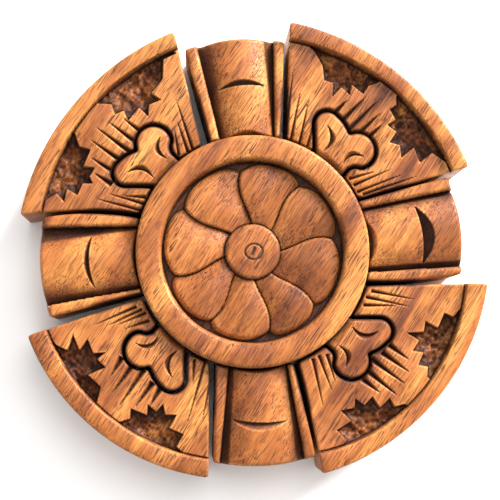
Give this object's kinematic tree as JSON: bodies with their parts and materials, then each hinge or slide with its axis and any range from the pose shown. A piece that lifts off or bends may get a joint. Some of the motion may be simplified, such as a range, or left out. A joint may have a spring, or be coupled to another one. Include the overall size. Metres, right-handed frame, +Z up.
{
  "type": "carved wooden disc puzzle",
  "caption": "Round carved wooden take-apart puzzle: a flower medallion with lobed keys, flared arms that plug into it and rim quarters that drop over the keys.",
  "frame": {"origin": "centre of the disc on its flat underside", "axes": "+Z up through the carved face, +X outwards along the east arm, +Y outwards along the north arm"},
  "size_m": [0.1251, 0.1231, 0.026],
  "materials": {
    "carved_wood": "satin"
  },
  "bodies": {
    "medallion": {"medallion": "carved_wood"},
    "arm_east": {"arm_east": "carved_wood"},
    "arm_north": {"arm_north": "carved_wood"},
    "arm_west": {"arm_west": "carved_wood"},
    "arm_south": {"arm_south": "carved_wood"},
    "quarter_northeast": {"quarter_northeast": "carved_wood"},
    "quarter_northwest": {"quarter_northwest": "carved_wood"},
    "quarter_southwest": {"quarter_southwest": "carved_wood"},
    "quarter_southeast": {"quarter_southeast": "carved_wood"}
  },
  "joints": [
    {"name": "arm_east_draw", "type": "slide", "parent": "medallion", "child": "arm_east", "axis": [1, 0, 0], "range_m": [0, 0.068]},
    {"name": "arm_north_draw", "type": "slide", "parent": "medallion", "child": "arm_north", "axis": [0, 1, 0], "range_m": [0, 0.068]},
    {"name": "arm_west_draw", "type": "slide", "parent": "medallion", "child": "arm_west", "axis": [-1, 0, 0], "range_m": [0, 0.068]},
    {"name": "arm_south_draw", "type": "slide", "parent": "medallion", "child": "arm_south", "axis": [0, -1, 0], "range_m": [0, 0.068]},
    {"name": "quarter_northeast_lift", "type": "slide", "parent": "medallion", "child": "quarter_northeast", "axis": [0, 0, 1], "range_m": [0, 0.034]},
    {"name": "quarter_northwest_lift", "type": "slide", "parent": "medallion", "child": "quarter_northwest", "axis": [0, 0, 1], "range_m": [0, 0.034]},
    {"name": "quarter_southwest_lift", "type": "slide", "parent": "medallion", "child": "quarter_southwest", "axis": [0, 0, 1], "range_m": [0, 0.034]},
    {"name": "quarter_southeast_lift", "type": "slide", "parent": "medallion", "child": "quarter_southeast", "axis": [0, 0, 1], "range_m": [0, 0.034]}
  ]
}
